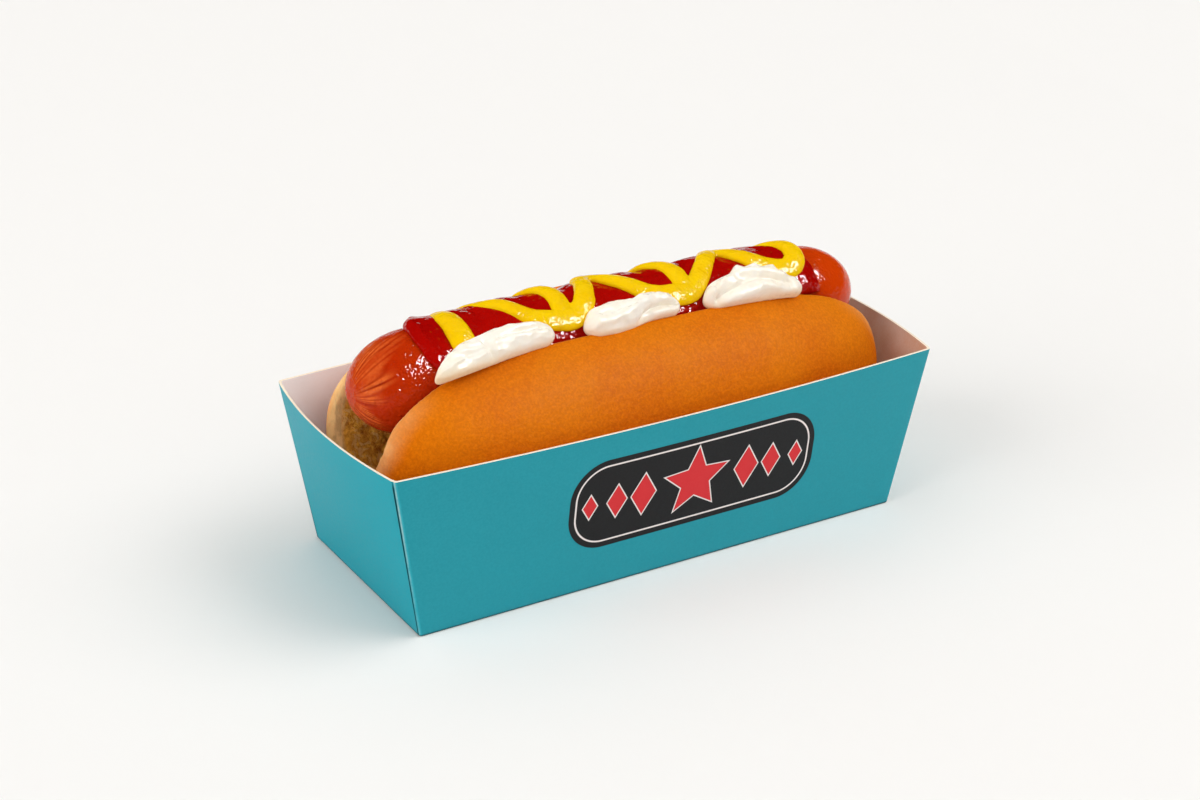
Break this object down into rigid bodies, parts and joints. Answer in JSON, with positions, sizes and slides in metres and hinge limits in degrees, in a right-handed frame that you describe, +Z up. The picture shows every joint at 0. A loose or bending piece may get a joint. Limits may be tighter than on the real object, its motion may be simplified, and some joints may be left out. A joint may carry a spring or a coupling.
{
  "type": "hot dog",
  "caption": "Hot dog in an open folded tray: a slit bun round a frankfurter, topped with ketchup, zigzag mustard and mayonnaise.",
  "frame": {"origin": "centre of the tray's underside, on the surface it stands on", "axes": "+X along the hot dog, +Z up, the tray's printed front wall facing -Y"},
  "size_m": [0.1722, 0.0734, 0.0736],
  "materials": {
    "paperboard": "teal print outside, uncoated off-white inside",
    "bread": "soft baked crust, satin",
    "frankfurter": "smooth cooked skin, glossy",
    "ketchup": "wet, glossy",
    "mustard": "smooth, glossy",
    "mayonnaise": "creamy, soft gloss"
  },
  "bodies": {
    "root": {"tray": "paperboard", "bun": "bread", "sausage": "frankfurter", "ketchup": "ketchup", "mayonnaise_1": "mayonnaise", "mayonnaise_2": "mayonnaise", "mayonnaise_3": "mayonnaise"}
  },
  "joints": []
}
